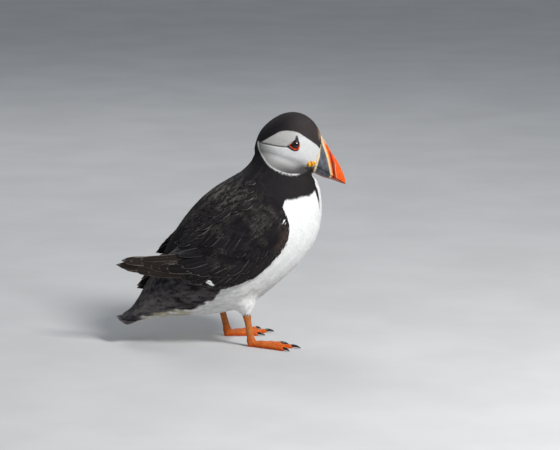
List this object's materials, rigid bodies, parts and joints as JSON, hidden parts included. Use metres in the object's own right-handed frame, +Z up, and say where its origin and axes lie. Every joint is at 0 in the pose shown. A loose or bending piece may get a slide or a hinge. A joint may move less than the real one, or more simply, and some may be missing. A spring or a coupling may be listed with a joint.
{
  "type": "atlantic puffin",
  "caption": "Atlantic puffin standing with folded wings, deep banded bill, pale cheeks, dark back, white breast and webbed feet.",
  "frame": {"origin": "on the floor, under the middle of the bird's bounding box", "axes": "+X the way the bill points, +Y to the bird's left, +Z up"},
  "size_m": [0.2072, 0.107, 0.2095],
  "materials": {
    "head_plumage": "short dense feathers, pale grey cheek under a black cap",
    "neck_plumage": "short dense black feathers with a soft sheen",
    "body_plumage": "soft feathers, white below and black above",
    "wing_plumage": "overlapping vanes, black with worn brown edges",
    "tail_plumage": "short stiff vanes, sooty black",
    "leg_skin": "bright orange scaly skin, slightly glossy",
    "bill_horn": "smooth horn, slate, cream, red and orange",
    "gape_skin": "wrinkled yellow-orange bare skin",
    "eye": "wet and glossy, dark brown",
    "eye_trim": "bare red eyelid ring with slate plates",
    "claw_horn": "glossy black horn"
  },
  "bodies": {
    "root": {"head": "head_plumage", "neck": "neck_plumage", "trunk": "body_plumage", "tail": "tail_plumage", "wing_left": "wing_plumage", "wing_right": "wing_plumage", "thigh_left": "body_plumage", "thigh_right": "body_plumage", "leg_left": "leg_skin", "leg_right": "leg_skin", "foot_left": "leg_skin", "foot_right": "leg_skin", "bill_upper": "bill_horn", "bill_lower": "bill_horn", "gape_left": "gape_skin", "gape_right": "gape_skin", "eye_left": "eye", "eye_right": "eye"}
  },
  "joints": []
}
